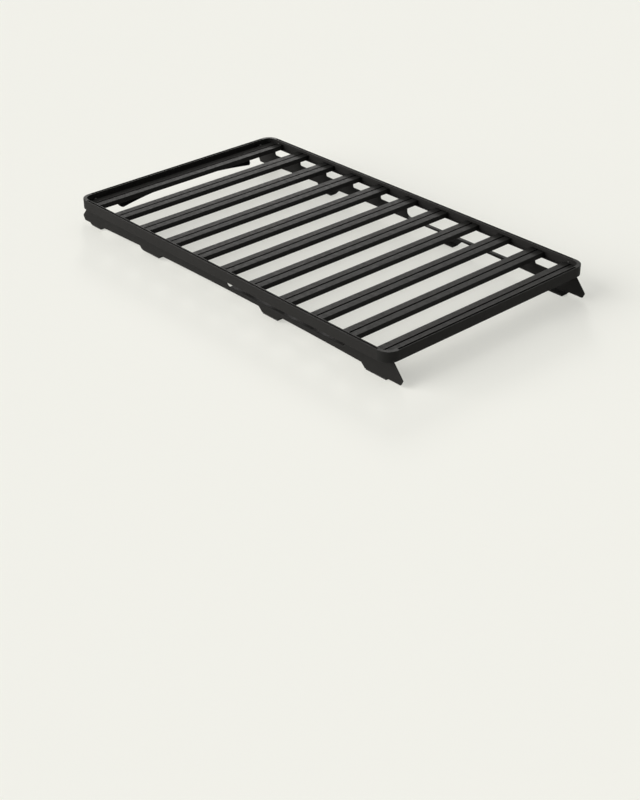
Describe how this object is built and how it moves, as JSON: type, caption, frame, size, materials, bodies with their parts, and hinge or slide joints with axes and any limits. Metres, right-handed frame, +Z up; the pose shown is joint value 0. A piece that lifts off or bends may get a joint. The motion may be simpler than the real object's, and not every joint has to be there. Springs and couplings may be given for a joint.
{
  "type": "flat platform roof rack",
  "caption": "Shallow black roof tray of flat cross slats in a rounded rim of rails, on two bent plate foot rails with bolt-down feet and a small wind deflector under the front.",
  "frame": {"origin": "on the level that the front and rear feet stand on, in the middle of the tray's length and width", "axes": "+X towards the rack's right side, +Y towards its front as mounted on a vehicle, +Z up"},
  "size_m": [1.244, 2.2598, 0.157],
  "materials": {
    "rails": "satin black powder coat on an extrusion",
    "slats": "satin black powder coat on an extrusion",
    "corner_castings": "satin black powder coat on a casting",
    "foot_rails": "satin black powder coat on bent steel plate",
    "foot_pads": "matt black rubber",
    "deflector": "satin black powder coat on sheet"
  },
  "bodies": {
    "root": {"corner_front_left": "corner_castings", "corner_front_right": "corner_castings", "corner_rear_left": "corner_castings", "corner_rear_right": "corner_castings", "foot_pad_left_1": "foot_pads", "foot_pad_left_2": "foot_pads", "foot_pad_left_3": "foot_pads", "foot_pad_left_4": "foot_pads", "foot_pad_right_1": "foot_pads", "foot_pad_right_2": "foot_pads", "foot_pad_right_3": "foot_pads", "foot_pad_right_4": "foot_pads", "foot_rail_left": "foot_rails", "foot_rail_right": "foot_rails", "front_rail": "rails", "rear_rail": "rails", "side_rail_left": "rails", "side_rail_right": "rails", "slat_01": "slats", "slat_02": "slats", "slat_03": "slats", "slat_04": "slats", "slat_05": "slats", "slat_06": "slats", "slat_07": "slats", "slat_08": "slats", "slat_09": "slats", "slat_10": "slats", "slat_11": "slats", "wind_deflector": "deflector"}
  },
  "joints": []
}
